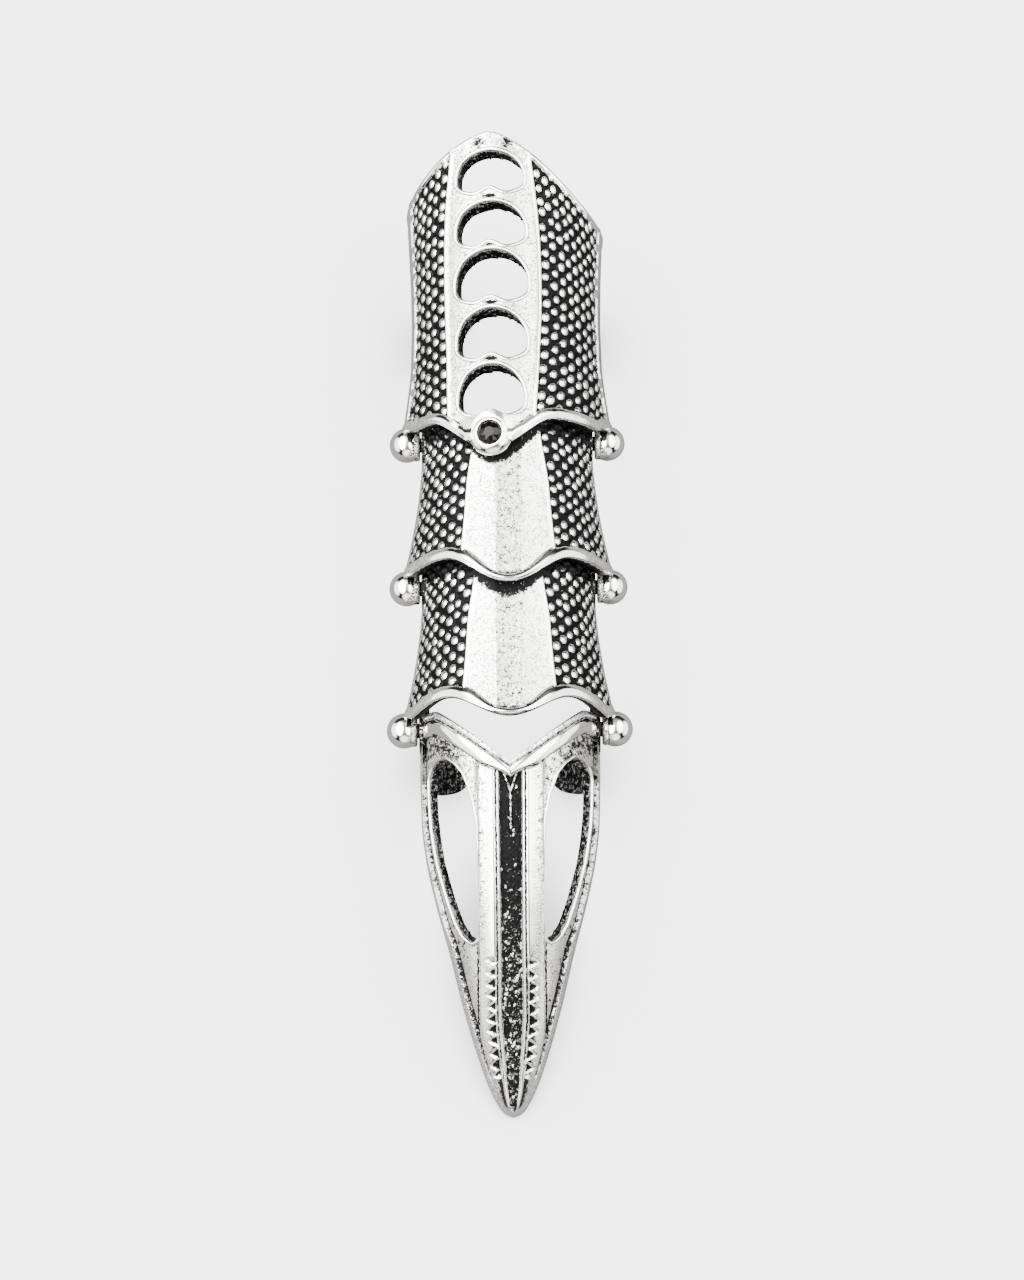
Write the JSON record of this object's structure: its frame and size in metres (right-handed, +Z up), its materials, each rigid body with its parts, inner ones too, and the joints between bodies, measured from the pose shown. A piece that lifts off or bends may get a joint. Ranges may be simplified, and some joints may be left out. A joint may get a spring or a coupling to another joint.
{
  "type": "knuckle armor ring",
  "caption": "Full-finger armour ring of hinged cast plates ending in a pierced claw, with open bands that clamp round the finger.",
  "frame": {"origin": "on the surface that the ring lies on, under the middle of its box", "axes": "+Z up, out of the back of the finger; +Y along the finger from the claw tip to the base end; +X across it"},
  "size_m": [0.0262, 0.104, 0.02],
  "materials": {
    "cast_metal": "antiqued cast metal, polished high spots",
    "pin_metal": "polished",
    "stone": "dark faceted stone"
  },
  "bodies": {
    "base": {"shield_plate": "cast_metal", "centre_stone": "stone", "base_pin_left": "pin_metal", "base_pin_right": "pin_metal"},
    "upper": {"upper_knuckle_plate": "cast_metal", "middle_pin_left": "pin_metal", "middle_pin_right": "pin_metal"},
    "lower": {"lower_knuckle_plate": "cast_metal", "claw_pin_left": "pin_metal", "claw_pin_right": "pin_metal"},
    "claw": {"claw": "cast_metal"}
  },
  "joints": [
    {"name": "base_knuckle", "type": "hinge", "parent": "base", "child": "upper", "pos_m": [0, 0.0199, 0.00807], "axis": [1, 0, 0], "range_deg": [0, 50]},
    {"name": "middle_knuckle", "type": "hinge", "parent": "upper", "child": "lower", "pos_m": [0, 0.00405, 0.00807], "axis": [1, 0, 0], "range_deg": [0, 50]},
    {"name": "claw_knuckle", "type": "hinge", "parent": "lower", "child": "claw", "pos_m": [0, -0.01145, 0.00807], "axis": [1, 0, 0], "range_deg": [0, 50]}
  ]
}
